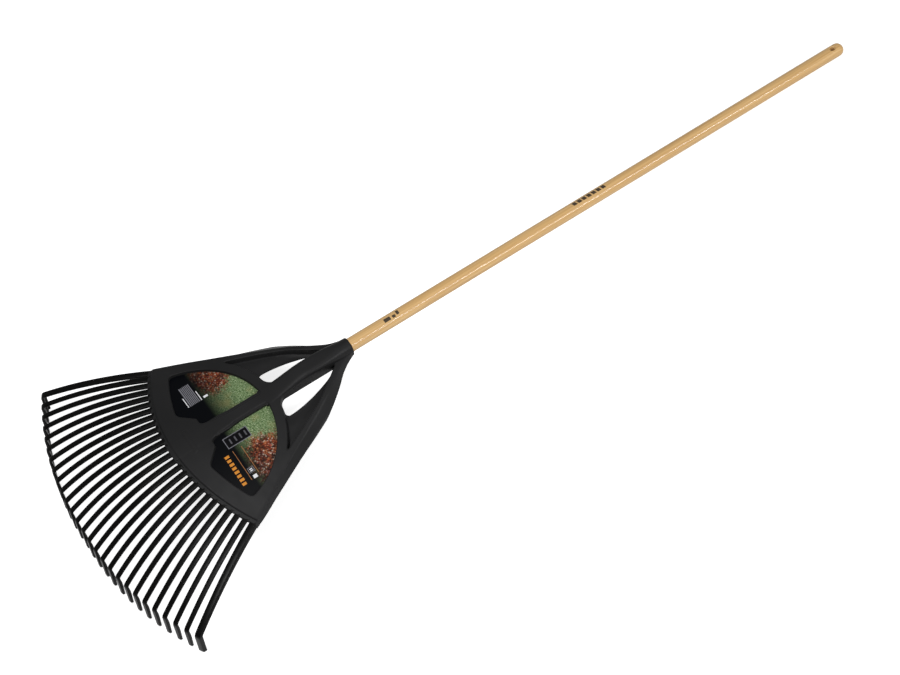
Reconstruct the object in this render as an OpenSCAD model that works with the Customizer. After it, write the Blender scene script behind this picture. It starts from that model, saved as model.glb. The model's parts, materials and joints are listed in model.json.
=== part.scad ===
// Leaf rake, lying as it rests on the ground: on the tips of its tines and the end of its handle.
// Every sub-part is drawn in the head's own frame and laid down by at_rest().
// Head frame: the handle's axis is the Y axis, the socket's mouth is at the origin,
// the tines point towards -Y and the face of the head looks towards +Z.

/* [Handle] */
// Diameter of the round wooden handle
handle_d = 28; // [26:0.5:30]
// Length of handle that shows beyond the socket
handle_visible = 1205; // [900:5:1500]
// Length of handle held inside the socket
socket_depth = 105; // [90:1:115]
// Diameter of the hang hole drilled across the handle
hang_hole_d = 10; // [6:0.5:12]
// Distance from the handle's end to the hang hole
hang_hole_inset = 27; // [22:1:60]

/* [Head] */
// Radius of the head's arch, seen along the handle
arch_r = 710; // [600:10:1200]
// Height of the head's face above the handle's axis, on the centre line
face_z = 3; // [0:0.5:6]
// Radius of the arc band's lower edge about the socket's mouth
band_r = 382; // [370:1:388]
// Width of the arc band
band_w = 34; // [28:1:40]
// Thickness of the face plate
plate_t = 4; // [3:0.5:6]
// Depth of the outer rails
rail_depth = 17; // [12:1:20]
// Wall thickness of the socket
socket_wall = 4.5; // [3.5:0.5:6]

/* [Windows and openings] */
// Radius of the arc over the two windows
window_r = 163; // [150:1:168]
// Half width of the spine between the windows
spine_half = 11; // [8:0.5:14]
// Depth of the label cards below the face
card_inset = 7; // [5:0.5:10]
// Depth of the recessed webs in the upper openings below the face
web_inset = 13; // [9:0.5:14]

/* [Tines] */
// Angle between neighbouring tines
tine_step = 2.34; // [2.2:0.01:2.4]
// Width of a tine
tine_w = 9; // [6:0.2:10]
// Width of the two outermost tines
outer_tine_w = 12; // [8:0.5:13]
// Thickness of a tine at its root
tine_t = 6; // [5:0.5:7]
// Thickness of a tine at its tip
tip_t = 5.4; // [3:0.2:6]
// Length of the middle tine, from the comb to its bend
middle_len = 208; // [180:1:220]
// Extra length of each next tine towards the sides
len_step = 0.8; // [0:0.2:2]
// Depth of the bends below the handle's axis
bend_drop = 71; // [60:1:80]
// Angle by which a hook leans away from the handle
hook_lean = 5; // [0:1:12]
// Tilt of the handle when the rake lies on the ground
rest_tilt = 3.78; // [3.4:0.02:4]

/* [Hidden] */
TINES = 27;
MIDDLE = 14;
function two_digits(k) = str(k < 10 ? "0" : "", k);
function tine_name(k) = str("tine_", two_digits(k));

plastic = [0.13, 0.13, 0.13];
wood = [0.86, 0.7, 0.46];
far = 600;                                  // beyond the head in every direction
slack = 0.1;                                // gap round the handle and the screw
handle_r = handle_d / 2;
tenon_r = handle_r - 0.6;                   // the handle is turned down inside the socket
shoulder_y = 0.5;
socket_r = handle_r + socket_wall;
socket_len = socket_depth + 45;             // the closed tube goes on past the handle
nose_len = 35;                              // the tube's end, sinking into the face
nose_r = 5;
edge_angle = 29.4;                          // slant of the head's straight side edges
edge_start = [67, -92];                     // where the straight side edges begin
rail_wall = 3.5;
fan_y = -351;                               // centre of the arcs round windows and openings
ring_w = 19;                                // width of the ring between windows and openings
window_bottom_r = band_r - band_w;
comb_inset = 2.5;                           // the comb's top lies this far below the face
comb_len = 8;
root_r = band_r + comb_len;                 // the tines start here
root_gap = 0.3;
hinge_s = root_gap + tine_t / 2;            // from the comb's edge to a tine's hinge
bend_r = 9;                                 // radius of a hook's bend, along its middle
card_t = 0.8;
ledge_w = 5;
ledge_t = 2;
rim_w = 2.5;                                // thickness of the walls round windows and openings
web_t = 2.5;
above = 6;                                  // how far the cutting shapes stand above the face
screw_y = -32;
screw_r = 2;
screw_head_r = 4.2;
screw_head_t = 2.6;
screw_len = 18;
dome_y = handle_visible - handle_r;         // centre of the handle's round end
axis_height = handle_r + dome_y * sin(rest_tilt);
far_corner = hook_tip(MIDDLE)[0] + [root_r + hinge_s, root_z(MIDDLE)];   // the middle hook's outer corner
reach = far_corner[0] * cos(rest_tilt) - far_corner[1] * sin(rest_tilt);
centre_shift = (handle_visible * cos(rest_tilt) - reach) / 2;

// Point at radius r and angle a from the centre line, about the socket's mouth
function polar(r, a) = [r * sin(a), -r * cos(a)];
// Height of the face at distance x from the centre line
function face_at(x) = face_z - arch_r + sqrt(arch_r * arch_r - x * x);
// Point at distance d along a straight side edge
function along_edge(d) = edge_start + d * [sin(edge_angle), -cos(edge_angle)];
// Height of the ground, in the head frame
function ground_z(y) = -(axis_height - y * sin(rest_tilt)) / cos(rest_tilt);

module at_rest() {
    translate([0, -centre_shift, axis_height]) rotate([-rest_tilt, 0, 0]) children();
}

// ---- outlines of the head, seen from above ----

// Whole head down to radius r, drawn in by inset on each side
module head_outline(r, inset = 0) {
    side = [[socket_r, 0], [20, -16], [27, -34], [42, -56], edge_start, along_edge(far)];
    inner = [for (p = side) [p[0] - inset, p[1]]];
    intersection() {
        circle(r = r, $fn = 360);
        polygon(concat([[0, 0]], inner, [for (i = [len(inner) - 1:-1:0]) [-inner[i][0], inner[i][1]]]));
    }
}

// Raised pad in the middle of the band, drawn out by grow
module pad_outline(grow = 0) {
    polygon([[-34 - grow, -313 + grow], [34 + grow, -313 + grow], [58 + grow, -338 + grow],
             [58 + grow, -far], [-58 - grow, -far], [-58 - grow, -338 + grow]]);
}

// One window on the right, drawn in by inset
module window_outline(inset = 0) {
    difference() {
        intersection() {
            translate([0, fan_y]) circle(r = window_r - inset, $fn = 180);
            circle(r = window_bottom_r - inset, $fn = 360);
            translate([spine_half + inset, -far]) square([far, far]);
        }
        pad_outline(inset);
    }
}

// One upper opening on the right, drawn in by inset
module opening_outline(inset = 0) {
    difference() {
        polygon([[socket_r + inset, -46 - inset], [38 - inset, -68], [65 - inset, -104], [98 - inset, -163],
                 [113 - inset, -194], [108 - inset, -222], [socket_r + inset, -222]]);
        translate([0, fan_y]) circle(r = window_r + ring_w + inset, $fn = 180);
    }
}

// The gap between the spine and the recessed web
module lens_outline() {
    intersection() {
        opening_outline();
        translate([-78, -150]) circle(r = 132, $fn = 180);
    }
}

// ---- solids of the head ----

// Slab of the arched head, from top below the face down by depth, cut to an outline
module arched(top, depth) {
    intersection() {
        translate([0, 0, -far / 6]) linear_extrude(far / 4) children();
        translate([0, 0, face_z - arch_r]) rotate([90, 0, 0]) difference() {
            cylinder(r = arch_r - top, h = far, $fn = 360);
            translate([0, 0, -1]) cylinder(r = arch_r - top - depth, h = far + 2, $fn = 360);
        }
    }
}

module both_sides() {
    children();
    mirror([1, 0, 0]) children();
}

// The plate, with the deeper blocks that the windows and the upper openings are cut from
module face_plate() {
    arched(0, plate_t) head_outline(band_r);
    both_sides() arched(0, card_inset + card_t + ledge_t) window_outline(-rim_w);
    both_sides() arched(0, web_inset + web_t) opening_outline(-rim_w);
}

module rails() {
    arched(0, rail_depth) difference() {
        head_outline(band_r);
        head_outline(far, rail_wall);
        translate([-socket_r, -20]) square([2 * socket_r, 30]);
    }
}

module band_walls() {
    arched(0, 11) difference() {
        head_outline(band_r);
        circle(r = band_r - rail_wall, $fn = 360);
    }
    arched(comb_inset, tine_t) difference() {
        head_outline(root_r);
        circle(r = band_r - 1, $fn = 360);
    }
}

// Room for a card with a ledge under its edge, and the window through the ledge
module window_cut() {
    arched(-above, above + card_inset + card_t) window_outline();
    arched(-above, above + rail_depth) window_outline(ledge_w);
}

// Recess down to the web, and the gap beside the spine that goes right through
module opening_cut() {
    arched(-above, above + web_inset) opening_outline();
    arched(-above, above + rail_depth) lens_outline();
}

// Sloping outer side of a rail
module skirt() {
    run = 250;
    lean = 9;
    translate([edge_start[0] - 6, edge_start[1], face_at(edge_start[0]) - 1.5])
        rotate([0, 0, edge_angle]) rotate([90 + 4.8, 0, 0]) linear_extrude(run)
            polygon([[0, 0], [6, 0], [6 + lean, -rail_depth], [0, -rail_depth]]);
}

module socket_tube() {
    rotate([90, 0, 0]) {
        translate([0, 0, 2]) cylinder(r = socket_r, h = socket_len - 2, $fn = 96);
        cylinder(r1 = socket_r - 1.5, r2 = socket_r, h = 2, $fn = 96);
        translate([0, 0, socket_len]) cylinder(r1 = socket_r, r2 = nose_r, h = nose_len, $fn = 96);
    }
}

// Stiffening ribs under the band
module band_ribs() {
    for (a = [-24:6:24]) {
        r_in = window_bottom_r + 1;
        z_rib = face_at(polar(band_r, a)[0]) - 10;
        rotate([0, 0, a]) translate([-1, -band_r + 2, z_rib]) cube([2, band_r - 2 - r_in, 8.5]);
    }
}

module rake_head() {
    color(plastic) at_rest() difference() {
        union() {
            difference() {
                face_plate();
                both_sides() window_cut();
                both_sides() opening_cut();
            }
            rails();
            band_walls();
            both_sides() skirt();
            socket_tube();
            band_ribs();
        }
        translate([0, 1, 0]) rotate([90, 0, 0])
            cylinder(r = tenon_r + slack, h = socket_depth + 1 + slack, $fn = 96);
        translate([0, screw_y, -socket_r - 1]) cylinder(r = screw_r + slack, h = socket_r, $fn = 32);
    }
}

// ---- handle, screw and cards ----

module handle() {
    color(wood) at_rest() difference() {
        union() {
            translate([0, dome_y, 0]) rotate([90, 0, 0]) {
                cylinder(r = handle_r, h = dome_y - shoulder_y, $fn = 96);
                cylinder(r = tenon_r, h = dome_y + socket_depth, $fn = 96);
            }
            translate([0, dome_y, 0]) sphere(r = handle_r, $fn = 96);
        }
        translate([0, handle_visible - hang_hole_inset, -handle_d])
            cylinder(d = hang_hole_d, h = 2 * handle_d, $fn = 48);
        translate([0, screw_y, -handle_d]) cylinder(r = screw_r + slack, h = screw_len + 10, $fn = 32);
    }
}

module handle_screw() {
    color("silver") at_rest() translate([0, screw_y, -socket_r]) {
        cylinder(r = screw_r, h = screw_len, $fn = 32);
        translate([0, 0, -screw_head_t]) cylinder(r = screw_head_r, h = screw_head_t, $fn = 48);
    }
}

module label_card() {
    arched(card_inset, card_t) window_outline(0.5);
}

module label_card_left() {
    color("darkolivegreen") at_rest() mirror([1, 0, 0]) label_card();
}

module label_card_right() {
    color("olivedrab") at_rest() label_card();
}

// ---- tines ----

// Place of tine k: its turn about the mouth, its length to the bend and its root's height
function tine_turn(k) = (k - MIDDLE) * tine_step;
function tine_len(k) = middle_len + len_step * abs(k - MIDDLE);
function root_z(k) = face_at(polar(root_r, tine_turn(k))[0]) - comb_inset - tine_t / 2;
// Radius of the arc that leaves the comb level and reaches the bend's depth
function arc_r(l, drop) = (l * l + drop * drop) / (2 * drop);
// Point of the arc at part q of its length, as [distance out, height]
function arc_point(l, drop, q) =
    let (r = arc_r(l, drop), a = q * asin(l / r)) [r * sin(a), r * (cos(a) - 1)];

// Length and drop of tine k's arc, from its hinge, and the arc's slope where the bend begins
function arc_len(k) = tine_len(k) - hinge_s - bend_r;
function arc_drop(k) = bend_drop + root_z(k) - bend_r / 3;
function arc_end(k) = asin(arc_len(k) / arc_r(arc_len(k), arc_drop(k)));
// Point of tine k's bend where its middle line slopes down by angle a
function bend_point(k, a) =
    [arc_len(k), -arc_drop(k)] + bend_r * [sin(a) - sin(arc_end(k)), cos(a) - cos(arc_end(k))];
// Outer and inner corner of tine k's hook, which is cut on a slant, as [distance out, height] from the hinge
function hook_tip(k) =
    let (a = 90 - hook_lean,
         down = [cos(a), -sin(a)],
         half = tip_t / 2 * [sin(a), cos(a)],
         inner = bend_point(k, a) - half,
         turn = cos(tine_turn(k)),
         start_y = -(root_r + hinge_s + inner[0]) * turn,
         hook = (root_z(k) + inner[1] - ground_z(start_y)) / (sin(a) - cos(a) * turn * tan(rest_tilt)))
    [inner + 2 * half + (hook - 0.8 * tip_t) * down, inner + hook * down];

// Side view of a tine: level root, long arc, bend and hook down to the ground
module tine_profile(k) {
    l = arc_len(k);
    drop = arc_drop(k);
    end_a = arc_end(k);
    steps = 12;
    arc = [for (i = [0:steps]) let (q = i / steps, a = q * end_a, t = tine_t + (tip_t - tine_t) * q)
           [arc_point(l, drop, q), [sin(a), cos(a)], t / 2]];
    turns = 5;
    bend = [for (i = [1:turns]) let (a = end_a + (90 - hook_lean - end_a) * i / turns)
            [bend_point(k, a), [sin(a), cos(a)], tip_t / 2]];
    path = concat(arc, bend);
    polygon(concat([for (p = path) p[0] + p[1] * p[2]], hook_tip(k),
                   [for (i = [len(path) - 1:-1:0]) path[i][0] - path[i][1] * path[i][2]]));
}

module tine(k) {
    w = k == 1 || k == TINES ? outer_tine_w : tine_w;
    color(plastic) at_rest() rotate([0, 0, tine_turn(k)])
        translate([0, -root_r - hinge_s, root_z(k)]) rotate([0, 0, -90]) rotate([90, 0, 0])
            translate([0, 0, -w / 2]) {
                linear_extrude(w) tine_profile(k);
                cylinder(r = tine_t / 2, h = w, $fn = 48);
            }
}

rake_head();
handle();
handle_screw();
label_card_left();
label_card_right();
for (k = [1:TINES])
    tine(k);
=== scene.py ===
"""Leaf rake: the looks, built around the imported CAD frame.

Shapes are drawn in the head's own frame, in millimetres: the handle's axis is Y, the socket's mouth is at
the origin, the tines point towards -Y and the face looks towards +Z. HEAD lays them down as the CAD does.
"""

import json
import math

import bmesh
import bpy
import numpy as np
from mathutils import Matrix, Vector


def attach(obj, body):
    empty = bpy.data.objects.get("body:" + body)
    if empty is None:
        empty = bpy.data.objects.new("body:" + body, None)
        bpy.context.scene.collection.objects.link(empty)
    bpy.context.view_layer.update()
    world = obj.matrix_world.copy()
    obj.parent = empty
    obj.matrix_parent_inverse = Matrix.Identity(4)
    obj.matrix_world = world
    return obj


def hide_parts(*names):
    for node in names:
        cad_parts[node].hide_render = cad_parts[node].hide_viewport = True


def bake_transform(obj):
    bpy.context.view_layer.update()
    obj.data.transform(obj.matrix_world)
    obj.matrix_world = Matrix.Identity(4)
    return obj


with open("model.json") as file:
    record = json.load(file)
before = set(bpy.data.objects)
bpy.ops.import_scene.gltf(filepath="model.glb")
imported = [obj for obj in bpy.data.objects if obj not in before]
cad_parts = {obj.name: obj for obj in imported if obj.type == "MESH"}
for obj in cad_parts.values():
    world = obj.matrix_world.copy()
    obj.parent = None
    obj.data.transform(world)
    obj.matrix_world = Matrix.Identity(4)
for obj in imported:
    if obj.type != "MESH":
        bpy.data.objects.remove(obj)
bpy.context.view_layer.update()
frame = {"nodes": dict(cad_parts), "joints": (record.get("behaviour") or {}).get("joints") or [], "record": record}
record = frame["record"]
MM = 0.001

# ---------------------------------------------------------------- where things are
mount = {m["name"]: m for m in record["mounts"]}
shaft = mount["handle_shaft"]
hang = mount["hang_hole"]
SHOULDER = 0.5  # the handle's plain shaft starts this far from the mouth
SHAFT_LEN = shaft["dims"]["length_mm"]
HANDLE_R = shaft["dims"]["r_mm"]
DOME_Y = SHOULDER + SHAFT_LEN
axis_y = Vector(shaft["axis"]).normalized()
axis_x = Vector((1, 0, 0))
axis_z = axis_x.cross(axis_y)
mouth = Vector(shaft["pos_m"]) - axis_y * (SHOULDER + SHAFT_LEN / 2) * MM
HEAD = Matrix.Translation(mouth) @ Matrix((axis_x, axis_y, axis_z)).transposed().to_4x4()
TO_HEAD = HEAD.inverted()
joints = {j["child"]: j for j in frame["joints"]}
TINES = sorted(joints)

TUBE_R = 18.5
BAND_R = 382.0  # the band's outer edge, from the mouth
COMB_R = 389.6  # the comb's outer edge, from the mouth
FAN_V = 351.0  # centre of the arcs round the windows and openings
TUBE_END = 190.0  # the tube has sunk into the spine by here
GRID_S, GRID_V, GRID_STEP = 222.0, (-0.5, 392.0), 2.6
SLACK = 2.0  # heights are worked out this far past an outline, for the points on it
ABSENT = 99.0  # a height, up or down, where there is no surface


def face(s):
    """Height of the head's arched face at distance s from the centre line."""
    return 3.0 - s * s / 1420.0


# ---------------------------------------------------------------- mesh helpers
def add_mesh(name, points, faces, material, in_head_frame=False, sharp=32.0):
    """A piece from points in the head's frame. Its own axes are the world's, or else the head's."""
    mesh = bpy.data.meshes.new(name)
    mesh.from_pydata([tuple(p) for p in np.asarray(points) * MM], [], faces)
    bm = bmesh.new()
    bm.from_mesh(mesh)
    bmesh.ops.remove_doubles(bm, verts=bm.verts, dist=2e-6)
    bmesh.ops.dissolve_degenerate(bm, edges=bm.edges, dist=1e-6)
    loose = [v for v in bm.verts if not v.link_faces]
    bmesh.ops.delete(bm, geom=loose, context="VERTS")
    bm.to_mesh(mesh)
    bm.free()
    mesh.materials.append(material)
    mesh.polygons.foreach_set("use_smooth", [True] * len(mesh.polygons))
    mesh.set_sharp_from_angle(angle=math.radians(sharp))
    obj = bpy.data.objects.new(name, mesh)
    bpy.context.scene.collection.objects.link(obj)
    if in_head_frame:
        obj.matrix_world = HEAD
    else:
        mesh.transform(HEAD)
    return obj


def loft(rings):
    """Points and faces of a closed skin through rings of equal length, with its ends capped."""
    n = len(rings[0])
    points = [p for ring in rings for p in ring]
    faces = []
    for i in range(len(rings) - 1):
        for j in range(n):
            a, b = i * n + j, i * n + (j + 1) % n
            faces.append((a, b, b + n, a + n))
    faces.append(tuple(range(n - 1, -1, -1)))
    faces.append(tuple(range((len(rings) - 1) * n, len(rings) * n)))
    return points, faces


def smooth_line(points, spread):
    """A smoothed run of s against v through the given (s, v) points."""
    p = np.array(points, float)
    v = np.arange(p[0, 1], p[-1, 1] + 0.5, 1.0)
    s = np.interp(v, p[:, 1], p[:, 0])
    k = np.exp(-0.5 * (np.arange(-20, 21) / spread) ** 2)
    lead = s[0] + (s[1] - s[0]) * np.arange(-20, 0)
    tail = s[-1] + (s[-1] - s[-2]) * np.arange(1, 21)
    s2 = np.convolve(np.concatenate([lead, s, tail]), k / k.sum(), mode="valid")
    return v, s2


def side_distance(s, v, line):
    """Signed distance from a run, positive on its outer side."""
    lv, ls = line
    a = np.stack([ls[:-1], lv[:-1]], 1)
    d = np.stack([ls[1:] - ls[:-1], lv[1:] - lv[:-1]], 1)
    best = np.full(len(s), 1e9)
    for k in range(0, len(a), 2):
        seg = d[k] + (d[k + 1] if k + 1 < len(d) else 0)
        px, py = s - a[k, 0], v - a[k, 1]
        t = np.clip((px * seg[0] + py * seg[1]) / (seg @ seg), 0, 1)
        best = np.minimum(best, np.hypot(px - t * seg[0], py - t * seg[1]))
    return np.where(s > np.interp(v, lv, ls), best, -best)


def smax(a, b, k):
    """The larger of two distances, with a rounded corner of radius k."""
    return np.where((a > -k) & (b > -k), np.hypot(a + k, b + k) - k, np.maximum(a, b))


def ease(v, v0, v1):
    """0 before v0, 1 after v1, and a smooth step between."""
    t = np.clip((v - v0) / (v1 - v0), 0, 1)
    return t * t * (3 - 2 * t)


def cut(points, tris, field, level):
    """Splits triangles so that their edges follow field == level."""
    f = field(points) - level
    f[np.abs(f) < 1e-3] = 0
    sign = np.sign(f).astype(int)
    st = sign[tris]
    out = [tris[(st.max(1) <= 0) | (st.min(1) >= 0)]]
    work = tris[(st.max(1) > 0) & (st.min(1) < 0)]
    if len(work) == 0:
        return points, tris
    edges = np.concatenate([work[:, [0, 1]], work[:, [1, 2]], work[:, [2, 0]]])
    edges = np.unique(np.sort(edges, 1), axis=0)
    edges = edges[sign[edges[:, 0]] * sign[edges[:, 1]] < 0]
    fa, fb = f[edges[:, 0]], f[edges[:, 1]]
    w = (fa / (fa - fb))[:, None]
    new = points[edges[:, 0]] * (1 - w) + points[edges[:, 1]] * w
    n = len(points)
    key = edges[:, 0].astype(np.int64) * n + edges[:, 1]

    def mid(a, b):
        k = np.minimum(a, b).astype(np.int64) * n + np.maximum(a, b)
        return n + np.searchsorted(key, k)

    for r in range(3):
        t = np.roll(work, -r, 1)
        s3 = sign[t]
        lone = (s3[:, 0] != 0) & (s3[:, 1] == -s3[:, 0]) & (s3[:, 2] == -s3[:, 0])
        a, b, c = t[lone].T
        p, q = mid(a, b), mid(a, c)
        out += [np.stack(x, 1) for x in ((a, p, q), (p, b, c), (p, c, q))]
        pair = (s3[:, 0] == 0) & (s3[:, 1] * s3[:, 2] < 0)
        a, b, c = t[pair].T
        p = mid(b, c)
        out += [np.stack(x, 1) for x in ((a, b, p), (a, p, c))]
    return np.concatenate([points, new]), np.concatenate(out)


def base_grid(s1, v0, v1, step):
    """A flat grid of triangles over one half of the head, in (s, v)."""
    ns, nv = int(math.ceil(s1 / step)), int(math.ceil((v1 - v0) / step))
    gs, gv = np.meshgrid(np.linspace(0, s1, ns + 1), np.linspace(v0, v1, nv + 1))
    points = np.stack([gs.ravel(), gv.ravel()], 1)
    i = np.arange(nv)[:, None] * (ns + 1) + np.arange(ns)[None, :]
    a, b, c, d = (x.ravel() for x in (i, i + 1, i + ns + 2, i + ns + 1))
    flip = (np.add(*np.divmod(i.ravel(), ns + 1)) % 2).astype(bool)
    one = np.stack([np.where(flip, a, b), np.where(flip, b, c), np.where(flip, d, a)], 1)
    two = np.stack([np.where(flip, b, c), np.where(flip, c, d), np.where(flip, d, a)], 1)
    return points, np.concatenate([one, two])


def shell(cuts, inside, top, bottom):
    """A closed half shell over the cut grid, mirrored to the other side."""
    points, tris = base_grid(GRID_S, *GRID_V, GRID_STEP)
    for field, levels in cuts:
        for level in levels:
            points, tris = cut(points, tris, field, level)
    centre = points[tris].mean(1)
    tris = tris[inside(centre)]
    first, second, third = (points[tris[:, i]] for i in range(3))
    area = np.cross(second - first, third - first)
    tris = np.where((area > 0)[:, None], tris, tris[:, ::-1])[np.abs(area) > 1e-7]
    used, tris = np.unique(tris, return_inverse=True)
    tris = tris.reshape(-1, 3)
    points = points[used]
    zt, zb = top(points), bottom(points)
    zb = np.minimum(zb, zt - 1e-4)
    n = len(points)
    s, y = points[:, 0], -points[:, 1]
    # in (s, v) the turn is the mirror of (s, y), so the top takes each triangle the other way round
    half = np.concatenate([np.stack([s, y, zt], 1), np.stack([s, y, zb], 1)])
    e = np.concatenate([tris[:, [0, 1]], tris[:, [1, 2]], tris[:, [2, 0]]])
    k = np.sort(e, 1)
    _, first, count = np.unique(k, axis=0, return_index=True, return_counts=True)
    rim = e[first[count == 1]]
    rim = rim[~((s[rim[:, 0]] < 1e-6) & (s[rim[:, 1]] < 1e-6))]
    faces = [tuple(t[::-1]) for t in tris] + [tuple(t + n) for t in tris]
    faces += [(a, b, b + n, a + n) for a, b in rim]
    other = half * [-1, 1, 1]
    m = len(half)
    faces += [tuple(np.array(f[::-1]) + m) for f in faces]
    return np.concatenate([half, other]), [tuple(int(i) for i in f) for f in faces]


# ---------------------------------------------------------------- the head's outlines
RIDGE = smooth_line([(16, -4), (17, 2), (25, 30), (39, 53), (67, 92), (90, 132), (115, 177), (140, 222),
                     (166, 267), (192, 314), (197.5, 324), (200.5, 331), (205, 339), (232, 392)], 5.0)
SKIRT = smooth_line([(15, -4), (19.5, 7), (27, 23), (37, 39), (57, 60), (77, 84), (98, 113), (117, 152),
                     (136, 194), (154, 231), (173, 270), (192, 305), (199.5, 321), (202.5, 331), (207, 339),
                     (234, 392)], 5.0)
OPENING = smooth_line([(8, 30), (22, 47), (40, 71), (65, 104), (84, 138), (99, 169), (111, 195),
                       (122, 219)], 5.0)
LENS = smooth_line([(10, 36), (22, 52), (29, 64), (38, 87), (46, 112), (51, 135), (54, 158), (54, 170),
                    (50, 190)], 6.0)


def sv(p):
    """Distance from the centre line, and distance from the mouth along it."""
    return np.abs(p[:, 0]), p[:, 1]


def d_ridge(p):
    return side_distance(*sv(p), RIDGE)


def d_skirt(p):
    return side_distance(*sv(p), SKIRT)


def d_window(p):
    s, v = sv(p)
    spine = 11.0 + 3.5 * ease(v, 250, 292) + 6.0 * ease(v, 288, 316)
    top = np.hypot(s, v - FAN_V) - 163.0
    low = np.hypot(s, v) - 348.0
    pad = np.maximum(314.0 - v, (s - 34.0) * 0.71 - (v - 313.0) * 0.71)
    d = smax(smax(top, low, 7.0), spine - s, 5.0)
    return smax(d, -pad, 6.0)


def d_opening(p):
    s, v = sv(p)
    outer = side_distance(s, v, OPENING)
    ring = 182.0 - np.hypot(s, v - FAN_V)
    return smax(smax(outer, ring, 5.0), TUBE_R - 1.5 - s, 6.0 + 12.0 * ease(v, 100, 150))


def d_lens(p):
    s, v = sv(p)
    low = 184.0 - np.hypot(s, v - FAN_V)
    d = smax(side_distance(s, v, LENS), low, 8.0)
    return smax(d, TUBE_R - 0.4 - s, 1.0 + 13.0 * ease(v, 110, 150))


def d_badge(p):
    """Distance from the plain raised rectangle on the band."""
    s, v = sv(p)
    return np.maximum(np.abs(s) - 27.0, np.abs(v - 347.0) - 4.0)


def radius(p):
    return np.hypot(p[:, 0], p[:, 1])


def mouth_round(v):
    """How far the tube's end is drawn in, for its taper and its rounded lip."""
    return 1.2 * (1 - ease(v, 0, 30)) + 1.3 * np.clip(1 - v / 2.5, 0, 1) ** 2


def tube_share(p):
    """Place across the tube: 0 on its centre line, 1 at its side."""
    s, v = sv(p)
    return s / (TUBE_R - mouth_round(v))


def tube_height(p, sink0, sink1, low):
    """Height of the tube, which sinks from its full radius to low between the two places."""
    s, v = sv(p)
    u = np.clip(tube_share(p), 0, 1)
    power = 2.0 + 3.0 * ease(v, 15, 85)
    height = TUBE_R - (TUBE_R - low) * ease(v, sink0, sink1) - mouth_round(v)
    return height * (1 - u**power) ** (1 / power)


# ---------------------------------------------------------------- the head's profiles
# each holds (distance, height), and the head is cut along every distance
OPENING_WALL = [(-3.2, -13.4), (-2.0, -13.2), (-1.3, -12.6), (-0.9, -11.6), (-0.1, -1.3), (0.25, -0.65),
                (0.8, -0.2), (1.6, 0)]
WINDOW_WALL = [(-3.0, -7.9), (-1.6, -7.8), (-1.1, -7.4), (-0.8, -6.8), (-0.1, -1.2), (0.25, -0.6),
               (0.8, -0.18), (1.6, 0)]
BAND_EDGE = [(378.5, 0), (380.0, -0.25), (381.1, -0.8), (381.8, -1.6), (382.2, -2.6)]
COMB_EDGE = [(388.0, 0), (388.9, -0.35), (COMB_R, -1.4)]
RIDGE_ROUND = [(-2.6, 0), (-1.4, -0.15), (-0.5, -0.45), (0.0, -0.8)]
SKIRT_SLOPE = [(0, 0), (0.1, -0.07), (0.9, -0.93), (1, -1)]
BADGE_EDGE = [(-0.5, 0.45), (0.0, 0.0)]
WALL_BACK = [2.2, 2.9]  # the back of the wall round a window or an opening
BAND_BACK = [377.6, 378.4]  # the back of the band's wall
BAND_STEP = [382.2, 382.8]  # the step from the band down to the comb
UNDER = -4.0  # the plate's underside, below its face
BAND_UNDER = -11.0
LEDGE = -5.0  # the ledge that holds a card ends this far inside the window


def wall(d, profile):
    """Height at distance d along a profile."""
    k = np.array(profile)
    return np.interp(d, k[:, 0], k[:, 1])


def skirt_share(p):
    """Place across the skirt: 0 on the ridge, 1 along its lower edge."""
    a, b = d_ridge(p), d_skirt(p)
    return np.where(a <= 0, 0, np.where(b >= 0, 1, a / np.maximum(a - b, 1e-6)))


def skirt_depth(v):
    return 8.0 + 7.5 * ease(v, 0, 60) - 4.5 * ease(v, 250, 322)


def lens_drop(p):
    """The web tips down towards the see-through gap."""
    return -2.2 * (1 - ease(d_lens(p), 0, 26))


def plate_top(p):
    s, v = sv(p)
    r = radius(p)
    a = d_ridge(p)
    z = np.minimum(wall(d_opening(p), OPENING_WALL), wall(d_window(p), WINDOW_WALL))
    z = np.where(d_opening(p) < -0.9, z + lens_drop(p) * ease(-d_opening(p), 0.9, 8.0), z)
    z = z + wall(r, BAND_EDGE) + wall(r, COMB_EDGE)
    share = skirt_share(p)
    slope = wall(share, SKIRT_SLOPE) * skirt_depth(v)
    z = z + wall(d_badge(p), BADGE_EDGE)
    return face(s) + z + np.where(a > 0, -0.8 + slope, wall(a, RIDGE_ROUND))


def blend_max(a, b, k):
    """The larger of two heights, blended over a span of k."""
    h = np.clip(0.5 + 0.5 * (a - b) / k, 0, 1)
    return b + (a - b) * h + k * h * (1 - h)


def off_plate(p):
    return (d_lens(p) < -SLACK) | (d_skirt(p) > SLACK)


def head_top(p):
    _, v = sv(p)
    tube = np.where(tube_share(p) < 1, tube_height(p, 92, TUBE_END, 1.5), -ABSENT)
    plate = np.where(off_plate(p) | (v < 0.0), -ABSENT, plate_top(p))
    highest = np.maximum(tube, plate)
    both = (tube > -ABSENT) & (plate > -ABSENT)
    return np.where(both, blend_max(tube, plate, 2.4), np.where(highest > -ABSENT, highest, 0))


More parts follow.
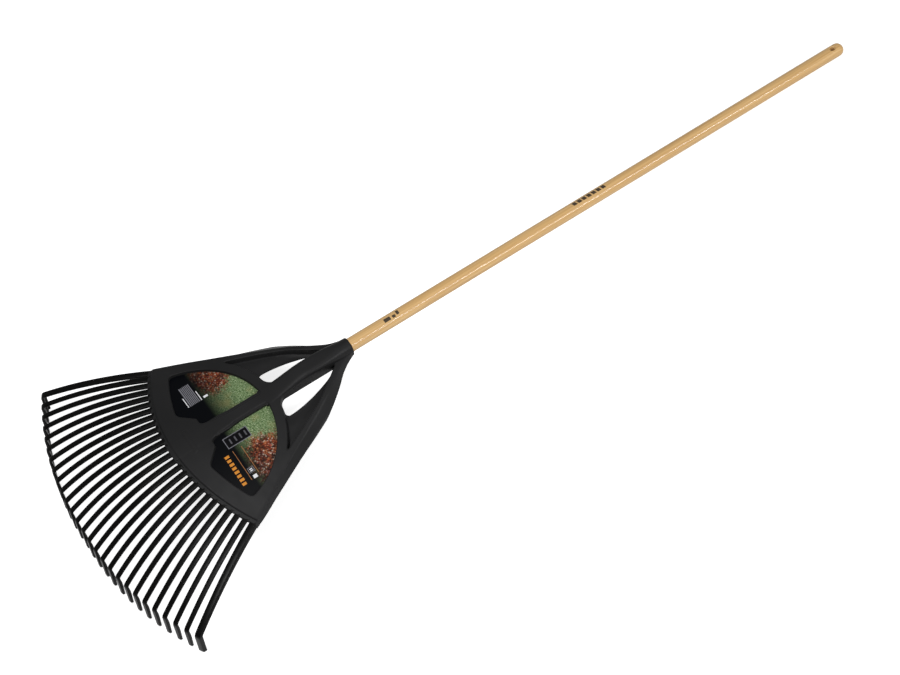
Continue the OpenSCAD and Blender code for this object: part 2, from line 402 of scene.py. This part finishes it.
def head_bottom(p):
    s, v = sv(p)
    r = radius(p)
    z = np.full(len(s), UNDER)
    z = np.minimum(z, np.interp(d_window(p), WALL_BACK, [-10.0, UNDER]))
    z = np.minimum(z, np.interp(d_opening(p), WALL_BACK, [-16.5, UNDER]))
    z = np.minimum(z, np.interp(r, BAND_BACK, [UNDER, BAND_UNDER]))
    z = np.where(r > BAND_R, np.interp(r, BAND_STEP, [BAND_UNDER, -8.5]), z)
    share = skirt_share(p)
    a = d_ridge(p)
    slope = -0.8 + wall(share, SKIRT_SLOPE) * skirt_depth(v)
    z = np.where(a > 0, np.minimum(z, slope - 4.5), z)
    z = np.where(a > 0, np.maximum(z, -2.4 - skirt_depth(v)), z)
    plate = np.where(off_plate(p), ABSENT, face(s) + z)
    tube = np.where(tube_share(p) < 1, -tube_height(p, 112, TUBE_END, 0.5), ABSENT)
    lowest = np.minimum(plate, tube)
    return np.where(lowest < ABSENT, lowest, 0.0)


def head_inside(p):
    _, v = sv(p)
    fan = (d_skirt(p) < 0) & (radius(p) < COMB_R) & (d_lens(p) > 0) & (d_window(p) > LEDGE)
    return (v > 0) & (fan | ((tube_share(p) < 1) & (v < TUBE_END)))


def mouth_line(p):
    return p[:, 1]


def knots(profile):
    return [d for d, _ in profile]


HEAD_CUTS = [
    (mouth_line, [0.0, 0.6, 1.4, 2.5]),
    (tube_share, [0.3, 0.5, 0.65, 0.76, 0.85, 0.91, 0.95, 0.98, 0.994, 1.0]),
    (d_skirt, [0.0]),
    (d_ridge, knots(RIDGE_ROUND)),
    (skirt_share, [0.1, 0.5, 0.9]),
    (d_lens, [0.0]),
    (d_opening, knots(OPENING_WALL) + WALL_BACK),
    (d_window, [LEDGE] + knots(WINDOW_WALL) + WALL_BACK),
    (radius, BAND_BACK + knots(BAND_EDGE) + BAND_STEP[1:] + knots(COMB_EDGE)),
    (d_badge, knots(BADGE_EDGE)),
]


# ---------------------------------------------------------------- node helpers
class Nodes:
    """Short names for the few shader nodes used here."""

    def __init__(self, name):
        self.material = bpy.data.materials.new(name)
        self.material.use_nodes = True
        self.tree = self.material.node_tree
        self.shader = self.tree.nodes["Principled BSDF"]

    def put(self, socket, value):
        if isinstance(value, bpy.types.NodeSocket):
            self.tree.links.new(value, socket)
        elif value is not None:
            socket.default_value = value

    def node(self, kind, out=0, settings=None, **inputs):
        """One output of a new node. An input is given by its name, or as i and its number."""
        n = self.tree.nodes.new(kind)
        for key, value in (settings or {}).items():
            setattr(n, key, value)
        for key, value in inputs.items():
            by_number = key[0] == "i" and key[1:].isdigit()
            self.put(n.inputs[int(key[1:]) if by_number else key], value)
        return n.outputs[out]

    def math(self, op, a, b=None, c=None):
        n = self.tree.nodes.new("ShaderNodeMath")
        n.operation = op
        for socket, value in zip(n.inputs, (a, b, c)):
            self.put(socket, value)
        return n.outputs[0]

    def mix(self, factor, a, b):
        n = self.tree.nodes.new("ShaderNodeMix")
        n.data_type = "RGBA"
        self.put(n.inputs[0], factor)
        self.put(n.inputs[6], a)
        self.put(n.inputs[7], b)
        return n.outputs[2]

    def coords(self):
        return self.node("ShaderNodeTexCoord", "Object")

    def scaled(self, vector, scale):
        return self.node("ShaderNodeMapping", 0, None, Vector=vector, Scale=scale)

    def noise(self, vector, scale, detail=4.0, rough=0.5):
        return self.node("ShaderNodeTexNoise", 0, None, Vector=vector, Scale=scale, Detail=detail,
                         Roughness=rough)

    def ramp(self, value, *stops):
        n = self.tree.nodes.new("ShaderNodeValToRGB")
        self.put(n.inputs[0], value)
        while len(n.color_ramp.elements) < len(stops):
            n.color_ramp.elements.new(0.5)
        for e, (at, colour) in zip(n.color_ramp.elements, stops):
            e.position = at
            e.color = tuple(colour) + (1,) if len(colour) == 3 else colour
        return n.outputs[0]

    def span(self, value, a, b, c=0.0, d=1.0):
        return self.node("ShaderNodeMapRange", 0, None, i0=value, i1=a, i2=b, i3=c, i4=d)

    def bump(self, height, strength, distance):
        return self.node("ShaderNodeBump", 0, None, Height=height, Strength=strength, Distance=distance)


def set_shader(n, **values):
    """Sets the material's shader; an underscore stands for a space in an input's name."""
    for key, value in values.items():
        n.put(n.shader.inputs[key.replace("_", " ")], value)


def plastic(name, dark, light, rough0, rough1, grain, gloss):
    n = Nodes(name)
    at = n.coords()
    cloud = n.noise(at, 9.0, 3.0)
    fine = n.noise(at, 900.0, 2.0, 0.6)
    colour = n.mix(n.span(cloud, 0.35, 0.65), dark, light)
    speck = n.span(fine, 0.3, 0.7, 0.93, 1.07)
    colour = n.node("ShaderNodeVectorMath", 0, {"operation": "SCALE"}, i0=colour, Scale=speck)
    # the moulded faces are finely textured and the walls are polished
    upright = n.node("ShaderNodeSeparateXYZ", 2, None, Vector=n.node("ShaderNodeTexCoord", "Normal"))
    rough = n.span(n.noise(at, 40.0, 4.0), 0.3, 0.7, rough0, rough1)
    rough = n.math("MULTIPLY", rough, n.span(upright, 0.35, 0.93, 0.6, 1.0))
    set_shader(n, Base_Color=colour, Roughness=rough, Normal=n.bump(fine, grain, 0.0002),
               Specular_IOR_Level=gloss)
    return n.material


def wood():
    n = Nodes("varnished_wood")
    at = n.coords()
    warp = n.noise(n.scaled(at, (30, 2.0, 30)), 1.0, 2.0)
    x, y, z = (n.node("ShaderNodeSeparateXYZ", i, None, Vector=at) for i in range(3))
    ring = n.math("ADD", n.math("MULTIPLY", x, 170.0), n.math("MULTIPLY", warp, 4.2))
    ring = n.math("ADD", ring, n.math("MULTIPLY", z, 60.0))
    band = n.math("SINE", n.math("MULTIPLY", ring, 6.0))
    fine = n.noise(n.scaled(at, (900, 9.0, 900)), 1.0, 5.0, 0.65)
    long = n.noise(n.scaled(at, (160, 2.2, 160)), 1.0, 4.0, 0.6)
    pores = n.span(n.noise(n.scaled(at, (1500, 22.0, 1500)), 1.0, 2.0), 0.62, 0.74)
    base = n.ramp(long, (0.28, (0.50, 0.28, 0.092)), (0.5, (0.64, 0.395, 0.152)),
                  (0.72, (0.76, 0.51, 0.235)))
    grown = n.mix(n.span(band, -0.2, 1.0, 0.0, 0.32), base, (0.46, 0.245, 0.075, 1))
    grown = n.mix(n.span(fine, 0.35, 0.7, 0.0, 0.35), grown, (0.76, 0.53, 0.27, 1))
    colour = n.mix(n.math("MULTIPLY", pores, 0.35), grown, (0.33, 0.17, 0.055, 1))
    # plain printed bars stand where the maker's prints would be
    turn = n.math("ARCTAN2", x, z)
    along = n.math("MULTIPLY", y, 1000.0)
    around = n.math("MULTIPLY", turn, HANDLE_R)
    ink = None
    for y0, y1, a0, a1, lean in PRINT:
        shift = n.math("SUBTRACT", along, n.math("MULTIPLY", around, lean))
        m = n.math("MULTIPLY", n.math("GREATER_THAN", shift, y0), n.math("LESS_THAN", shift, y1))
        m = n.math("MULTIPLY", m, n.math("GREATER_THAN", around, a0))
        m = n.math("MULTIPLY", m, n.math("LESS_THAN", around, a1))
        ink = m if ink is None else n.math("MAXIMUM", ink, m)
    colour = n.mix(n.math("MULTIPLY", ink, 0.93), colour, (0.012, 0.011, 0.010, 1))
    set_shader(n, Base_Color=colour, Roughness=n.span(fine, 0.3, 0.7, 0.34, 0.46), Specular_IOR_Level=0.25,
               Coat_Weight=0.7, Coat_Roughness=0.13, Normal=n.bump(fine, 0.12, 0.0003))
    return n.material


def steel():
    n = Nodes("zinc_steel")
    at = n.coords()
    spots = n.noise(at, 700.0, 4.0)
    set_shader(n, Base_Color=n.ramp(spots, (0.3, (0.50, 0.50, 0.52)), (0.7, (0.66, 0.65, 0.62))),
               Roughness=n.span(spots, 0.3, 0.7, 0.28, 0.45), Metallic=1.0, Normal=n.bump(spots, 0.15, 0.0002))
    return n.material


def rect(n, x, v, box):
    """1 inside the box x0, x1, v0, v1 (millimetres), 0 outside."""
    x0, x1, v0, v1 = box
    m = n.math("MULTIPLY", n.math("GREATER_THAN", x, x0), n.math("LESS_THAN", x, x1))
    m2 = n.math("MULTIPLY", n.math("GREATER_THAN", v, v0), n.math("LESS_THAN", v, v1))
    return n.math("MULTIPLY", m, m2)


def card(name, leaves, fade, marks):
    """A printed card: grass, fallen leaves, a fade to black and plain marks. marks holds (colour, box)."""
    n = Nodes(name)
    at = n.coords()
    x, y, _ = (n.node("ShaderNodeSeparateXYZ", i, None, Vector=at) for i in range(3))
    x = n.math("MULTIPLY", x, 1000.0)
    v = n.math("MULTIPLY", y, -1000.0)
    blades = n.noise(n.scaled(at, (520, 300, 1)), 1.0, 6.0, 0.75)
    patch = n.noise(at, 34.0, 3.0)
    grass = n.ramp(blades, (0.36, (0.022, 0.042, 0.016)), (0.47, (0.10, 0.16, 0.07)),
                   (0.56, (0.22, 0.31, 0.145)), (0.66, (0.60, 0.64, 0.44)))
    grass = n.mix(n.span(patch, 0.55, 0.75, 0.0, 0.5), grass, (0.36, 0.30, 0.12, 1))
    cell = n.tree.nodes.new("ShaderNodeTexVoronoi")
    n.put(cell.inputs["Vector"], at)
    cell.inputs["Scale"].default_value = 330.0
    pick = n.node("ShaderNodeSeparateColor", 0, None, Color=cell.outputs["Color"])
    shade = n.span(cell.outputs["Distance"], 0.0, 0.75, 1.15, 0.25)
    leaf = n.ramp(pick, (0.05, (0.045, 0.018, 0.012)), (0.25, (0.24, 0.045, 0.022)),
                  (0.45, (0.42, 0.085, 0.035)), (0.62, (0.62, 0.24, 0.10)), (0.78, (0.36, 0.06, 0.05)),
                  (0.93, (0.75, 0.55, 0.42)))
    leaf = n.node("ShaderNodeVectorMath", 0, {"operation": "SCALE"}, i0=leaf, Scale=shade)
    cx, cv, rx, rv = leaves
    dx = n.math("DIVIDE", n.math("SUBTRACT", x, cx), rx)
    dv = n.math("DIVIDE", n.math("SUBTRACT", v, cv), rv)
    off = n.math("ADD", n.math("MULTIPLY", dx, dx), n.math("MULTIPLY", dv, dv))
    ragged = n.math("ADD", off, n.span(n.noise(at, 110.0, 8.0, 0.9), 0.0, 1.0, -2.6, 2.6))
    leaf = n.mix(n.span(n.noise(at, 60.0, 5.0, 0.7), 0.46, 0.62, 0.0, 0.75), leaf, (0.035, 0.018, 0.014, 1))
    colour = n.mix(n.span(ragged, 0.8, 1.3), leaf, grass)
    v0, v1 = fade
    dark = n.span(n.math("ADD", v, n.span(blades, 0.0, 1.0, -9.0, 9.0)), v0, v1)
    colour = n.mix(dark, colour, (0.0022, 0.0026, 0.0036, 1))
    for ink, box in marks:
        colour = n.mix(rect(n, x, v, box), colour, tuple(ink) + (1,))
    set_shader(n, Base_Color=colour, Roughness=n.span(blades, 0.3, 0.7, 0.30, 0.42),
               Specular_IOR_Level=0.05)
    return n.material


# a row of plain bars and a row of plain squares, as (y0, y1, around0, around1, lean)
PRINT = [(522 + 11.5 * i, 530.5 + 11.5 * i, -6.0, 2.5, 0.25) for i in range(7)]
PRINT += [(78, 92, -1.5, 6.5, 0.0), (96, 103, 0.5, 6.5, 0.0), (106, 112, -4.5, 4.5, 0.0)]

head_plastic = plastic("head_plastic", (0.0128, 0.0128, 0.0132, 1), (0.0160, 0.0160, 0.0165, 1),
                       0.42, 0.52, 0.25, 0.14)
tine_plastic = plastic("tine_plastic", (0.0010, 0.0010, 0.0010, 1), (0.0030, 0.0028, 0.0024, 1),
                       0.28, 0.40, 0.2, 0.13)
wood_material = wood()
WHITE, GREY = (0.75, 0.76, 0.78), (0.17, 0.17, 0.19)
ORANGE, BROWN = (0.62, 0.24, 0.035), (0.30, 0.13, 0.05)
BLACK, DIM = (0.004, 0.004, 0.005), (0.09, 0.09, 0.10)
left_marks = [(WHITE, (-96, -70, 283.6, 285.2)), (GREY, (-121, -70, 288, 309)),
              (WHITE, (-96, -70, 311.4, 313)), (WHITE, (-76, -71, 270, 279))]
left_marks += [(BLACK, (-122, -69, 290.2 + 3.0 * i, 291.3 + 3.0 * i)) for i in range(6)]
right_marks = [(GREY, (28.5, 52.5, 247, 297)), (BLACK, (30, 51, 248.6, 295.4)),
               (BROWN, (60, 121, 274.4, 275.6)), (BROWN, (60, 127, 292.6, 293.8)),
               (GREY, (104, 115, 278, 290)), (BLACK, (105.2, 113.8, 279.2, 288.8)),
               (WHITE, (107, 109, 281, 287)), (WHITE, (110.5, 112.5, 281, 287)),
               (WHITE, (120.5, 127.5, 280, 288))]
right_marks += [(DIM, (35, 46, 253 + 10.5 * i, 256 + 10.5 * i)) for i in range(4)]
right_marks += [(ORANGE, (62 + 8.75 * i, 67.5 + 8.75 * i, 303.5 + 0.8 * (i % 2), 312.5))
                for i in range(8)]
card_left = card("printed_card_left", (-118, 246, 50, 36), (222, 284), left_marks)
card_right = card("printed_card_right", (112, 240, 52, 42), (248, 288), right_marks)

# ---------------------------------------------------------------- the head
points, faces = shell(HEAD_CUTS, head_inside, head_top, head_bottom)
head = add_mesh("head_shell", points, faces, head_plastic)
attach(head, "head")
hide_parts("rake_head")


def turns(count):
    return [2 * math.pi * k / count for k in range(count)]


def lathe(profile, count):
    """Rings about the Y axis; profile holds (y, radius)."""
    return [[(r * math.sin(a), y, r * math.cos(a)) for a in turns(count)] for y, r in profile]


# ---------------------------------------------------------------- the handle
HANDLE_SIDES, HOLE_SIDES = 96, 64
# its turned-down end in the socket, the plain shaft and the domed end
profile = [(-100.0, 0.2), (-100.0, 11.5), (-98.0, 13.0), (-1.0, 13.3), (SHOULDER, 13.4),
           (SHOULDER + 0.1, HANDLE_R)]
profile += [(y, HANDLE_R) for y in np.linspace(8.0, DOME_Y - 40.0, 60)]
profile += [(y, HANDLE_R) for y in np.linspace(DOME_Y - 36.0, DOME_Y, 10)]
profile += [(DOME_Y + HANDLE_R * math.sin(a), max(0.05, HANDLE_R * math.cos(a)))
            for a in np.linspace(0, math.pi / 2, 15)[1:]]
points, faces = loft(lathe(profile, HANDLE_SIDES))
handle = add_mesh("handle_shaft", points, [f[::-1] for f in faces], wood_material, in_head_frame=True)
hole_y = (TO_HEAD @ Vector(hang["pos_m"])).y / MM
hole_r = hang["dims"]["r_mm"]
# the drill widens at both ends, so that the hole has a chamfer
chamfer = [(-20.0, hole_r + 7.6), (-12.6, hole_r + 1.0), (-11.9, hole_r), (11.9, hole_r),
           (12.6, hole_r + 1.0), (20.0, hole_r + 7.6)]
rings = [[(r * math.cos(a), hole_y + r * math.sin(a), z) for a in turns(HOLE_SIDES)] for z, r in chamfer]
points, faces = loft(rings)
drill = add_mesh("drill", points, faces, wood_material, in_head_frame=True)
cut_hole = handle.modifiers.new("hang_hole", "BOOLEAN")
cut_hole.operation = "DIFFERENCE"
cut_hole.solver = "EXACT"
cut_hole.object = drill
bpy.context.view_layer.update()
done = bpy.data.meshes.new_from_object(handle.evaluated_get(bpy.context.evaluated_depsgraph_get()))
handle.modifiers.clear()
handle.data = done
bpy.data.objects.remove(drill)
done.polygons.foreach_set("use_smooth", [True] * len(done.polygons))
done.set_sharp_from_angle(angle=math.radians(35))
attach(handle, "head")
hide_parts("handle")

# ---------------------------------------------------------------- the cards
CARD_EDGE = -0.35  # a card ends this far inside its window's outline
CARD_TOP, CARD_BACK = 6.9, 7.75  # below the head's face
CARD_CUTS = [(d_window, [-1.5, CARD_EDGE])]


def card_inside(p):
    return d_window(p) < CARD_EDGE


points, faces = shell(CARD_CUTS, card_inside,
                      lambda p: face(p[:, 0]) - CARD_TOP, lambda p: face(p[:, 0]) - CARD_BACK)
for side, name, material in ((-1, "label_card_left", card_left), (1, "label_card_right", card_right)):
    keep = [f for f in faces if all(points[i][0] * side > 0 for i in f)]
    piece = add_mesh(name + "_print", points, keep, material, in_head_frame=True)
    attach(piece, "head")
    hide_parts(name)

# ---------------------------------------------------------------- the screw keeps its CAD shape
frame["nodes"]["handle_screw"].data.materials.clear()
frame["nodes"]["handle_screw"].data.materials.append(steel())

# ---------------------------------------------------------------- the tines
TINE_T, TIP_T, BEND_R, BEND_DROP = 6.0, 5.4, 9.0, 71.0
TINE_WIDTH = [(0.0, 10.5), (0.27, 10.2), (0.6, 9.4), (1.0, 8.8), (2.0, 7.8)]
MIDDLE_LEN, LEN_STEP, TINE_STEP = 208.0, 0.8, 2.34
HOOK_LEAN = math.radians(5)  # a hook leans away from the handle
HOOK_SWELL = 1.4  # a hook is this much thicker on its inner side
HOOK_GUESS = 60.0  # about a hook's length, to find the ground under its tip
MIDDLE = 14  # the middle tine's number
HINGE_S = 3.3  # a hinge is this far out from the comb's edge
ROOT_IN = 5.0  # a tine's moulding starts this far inside the comb's edge
FILLET, FILLET_FROM = 3.0, 0.4  # the flare at that start, and where it begins
OUTER_W, OUTER_TAPER, OUTER_SKIRT = 14.0, 1.2, 5.2
TIP_SLANT = 0.8  # of the tip's thickness


def rounded_section(w, t, corner, steps=4):
    """Points round a bar's section, as (across, up)."""
    out = []
    for cx, cz, a0 in ((1, 1, 0), (-1, 1, 90), (-1, -1, 180), (1, -1, 270)):
        for k in range(steps + 1):
            a = math.radians(a0 + 90 * k / steps)
            x = cx * (w / 2 - corner) + corner * math.cos(a)
            out.append((x, cz * (t / 2 - corner) + corner * math.sin(a)))
    return out


def outer_section(t, share, side):
    """An outer tine's section, with a skirt down its outer side, as (across, up)."""
    half, up = (OUTER_W - OUTER_TAPER * share) / 2, t / 2
    deep = OUTER_SKIRT * (1 - 0.55 * share)
    section = [(-half, -up + 0.8), (-half, up - 1), (-half + 0.3, up - 0.3), (-half + 1, up),
               (half - 3.0, up), (half - 2.1, up - 0.25), (half - 1.6, up - 1.0),
               (half - 0.2, -up - deep * 0.75), (half, -up - deep + 0.3),
               (half - 0.4, -up - deep), (half - 2.4, -up - deep), (half - 2.9, -up - deep + 0.6),
               (half - 5.0, -up + 0.5), (half - 5.8, -up), (-half + 0.8, -up)]
    section = [(side * x, z) for x, z in section]
    return section[::-1] if side > 0 else section


def ground_z(y):
    """Height of the ground in the head's frame, at y."""
    return -(HEAD @ Vector((0, y * MM, 0))).z / MM / axis_z.z


def tine_path(k, hinge, out):
    """Middle line of tine k as (distance out from the hinge, height, turn, thickness, share).

    The share runs from below 0 inside the comb, over 0 at the hinge and 1 at the bend, to 2 at the tip.
    """
    length = MIDDLE_LEN + LEN_STEP * abs(k - MIDDLE) - HINGE_S - BEND_R
    drop = BEND_DROP + hinge.z - BEND_R / 3
    r = (length * length + drop * drop) / (2 * drop)
    end = math.asin(length / r)
    path = []
    for q in np.linspace(-1, 0, 5)[:-1]:
        path.append((q * (HINGE_S + ROOT_IN), 0.0, 0.0, TINE_T, q))
    for q in np.linspace(0, 1, 40):
        t = TINE_T + (TIP_T - TINE_T) * q
        path.append((r * math.sin(q * end), r * (math.cos(q * end) - 1), q * end, t, q))
    hook_a = math.pi / 2 - HOOK_LEAN
    cx, cz = length - BEND_R * math.sin(end), -drop - BEND_R * math.cos(end)
    for q in np.linspace(0, 1, 9)[1:]:
        a = end + (hook_a - end) * q
        path.append((cx + BEND_R * math.sin(a), cz + BEND_R * math.cos(a), a, TIP_T, 1.0))
    x, z, a, t, _ = path[-1]
    down = (math.cos(hook_a), -math.sin(hook_a))
    x1, z1 = x - t / 2 * math.sin(a), z - t / 2 * math.cos(a)
    ground = ground_z(hinge.y + out.y * (x1 + down[0] * HOOK_GUESS))
    hook = (hinge.z + z1 - ground) / math.sin(hook_a)
    for q in (0.25, 0.5, 0.75, 0.9, 1.0):
        path.append((x + down[0] * hook * q, z + down[1] * hook * q, a, t, 1.0 + q))
    return path


for k, name in enumerate(TINES, start=1):
    joint = joints[name]
    hinge = TO_HEAD @ Vector(joint["pos_m"]) / MM
    turn = math.radians((k - MIDDLE) * TINE_STEP)
    out = Vector((math.sin(turn), -math.cos(turn), 0))
    across = Vector((math.cos(turn), math.sin(turn), 0))
    outer = name in (TINES[0], TINES[-1])
    side = -1 if k == 1 else 1
    path = tine_path(k, hinge, out)
    rings = []
    for d, z, a, t, q in path:
        # the root flares into the comb with a round fillet on each side
        left = max(0.0, FILLET - (d + HINGE_S + ROOT_IN - FILLET_FROM))
        grow = FILLET - math.sqrt(max(0.0, FILLET**2 - left**2))
        share = min(1.0, max(0.0, q))
        middle = hinge + out * d + Vector((0, 0, z))
        up = out * math.sin(a) + Vector((0, 0, math.cos(a)))
        if outer:
            section = outer_section(t, share, side)
        else:
            # the swelling starts after the bend and is gone at the tip
            swell = HOOK_SWELL * min(1.0, max(0.0, q - 1.0) / 0.25) * min(1.0, max(0.0, 2.0 - q) / 0.5)
            section = rounded_section(wall(q, TINE_WIDTH) + 2 * grow, t + swell, 1.4)
            section = [(x, z2 - swell / 2) for x, z2 in section]
        rings.append([middle + across * x + up * z2 for x, z2 in section])
    # the tip is cut on a slant, lowest on its inner side
    d, z, a, t, _ = path[-1]
    toward = out * math.cos(a) - Vector((0, 0, math.sin(a)))
    up = out * math.sin(a) + Vector((0, 0, math.cos(a)))
    middle = hinge + out * d + Vector((0, 0, z))
    for ring in rings[-2:]:
        for i, p in enumerate(ring):
            lift = (-(p - middle).dot(up) / t - 0.5) * TIP_SLANT * t
            ring[i] = p + toward * min(0.0, lift) * (1.0 if ring is rings[-1] else 0.5)
    points, faces = loft([[tuple(p) for p in ring] for ring in rings])
    piece = add_mesh(name + "_bar", points, faces, tine_plastic, sharp=50.0)
    bm = bmesh.new()
    bm.from_mesh(piece.data)
    bmesh.ops.recalc_face_normals(bm, faces=bm.faces)
    bm.to_mesh(piece.data)
    bm.free()
    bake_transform(piece)
    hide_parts(name)

# ---------------------------------------------------------------- floor, light, camera
FLOOR_HALF, FLOOR_Z, FLOOR_GLOW = 9.0, -0.0005, 0.72
WORLD_LIGHT = 0.26  # strength of the surroundings as a light; to the camera it is 1
n = Nodes("floor")
tone = n.noise(n.coords(), 1.5, 2.0)
# the floor glows only where it is seen directly, so that it is white and throws no light up at the rake
glow = n.math("MULTIPLY", n.node("ShaderNodeLightPath"), FLOOR_GLOW)
set_shader(n, Base_Color=n.mix(tone, (0.80, 0.80, 0.80, 1), (0.82, 0.82, 0.82, 1)), Roughness=0.9,
           Emission_Color=(1, 1, 1, 1), Emission_Strength=glow)
bm = bmesh.new()
bmesh.ops.create_grid(bm, x_segments=8, y_segments=8, size=FLOOR_HALF)
mesh = bpy.data.meshes.new("floor")
bm.to_mesh(mesh)
bm.free()
mesh.materials.append(n.material)
floor = bpy.data.objects.new("floor", mesh)
floor.location = (0, 0, FLOOR_Z)
bpy.context.scene.collection.objects.link(floor)

world = bpy.data.worlds.new("studio")
bpy.context.scene.world = world
world.use_nodes = True
world.node_tree.nodes["Background"].inputs[0].default_value = (1, 1, 1, 1)
# the surroundings light the rake softly, and are seen as white behind the floor
ray = world.node_tree.nodes.new("ShaderNodeLightPath")
seen = world.node_tree.nodes.new("ShaderNodeMapRange")
seen.inputs[3].default_value = WORLD_LIGHT
seen.inputs[4].default_value = 1.0
world.node_tree.links.new(ray.outputs[0], seen.inputs[0])
world.node_tree.links.new(seen.outputs[0], world.node_tree.nodes["Background"].inputs[1])
bpy.context.scene.view_settings.view_transform = "Standard"


def softbox(name, place, target, size, power):
    """A soft rectangular light; its second side lies along the rake."""
    data = bpy.data.lights.new(name, "AREA")
    data.shape = "RECTANGLE"
    data.size, data.size_y = size
    data.energy = power
    z = (Vector(place) - Vector(target)).normalized()
    x = axis_y.cross(z).normalized()
    lamp = bpy.data.objects.new(name, data)
    lamp.matrix_world = Matrix.Translation(place) @ Matrix((x, z.cross(x), z)).transposed().to_4x4()
    bpy.context.scene.collection.objects.link(lamp)


softbox("key", (0.2, -0.7, 3.1), (0, -0.1, 0), (1.2, 1.0), 46)
softbox("strip", (2.55, 1.5, 2.15), (0, 0.4, 0), (0.24, 2.2), 54)
softbox("side", (2.3, 0.3, 1.25), (0, -0.35, 0.05), (0.25, 0.7), 3)

at = Vector((1.65737, -0.75797, 2.84075))
right = Vector((0.56017, 0.81777, -0.13211))
up = Vector((-0.67337, 0.54241, 0.50237))
back = Vector((0.48249, -0.19245, 0.85450))
camera = bpy.data.objects.new("camera", bpy.data.cameras.new("camera"))
camera.data.lens = 68.84
camera.data.sensor_width = 36.0
camera.data.clip_end = 50.0
camera.matrix_world = Matrix.Translation(at) @ Matrix((right, up, back)).transposed().to_4x4()
bpy.context.scene.collection.objects.link(camera)
bpy.context.scene.camera = camera

bpy.context.view_layer.update()
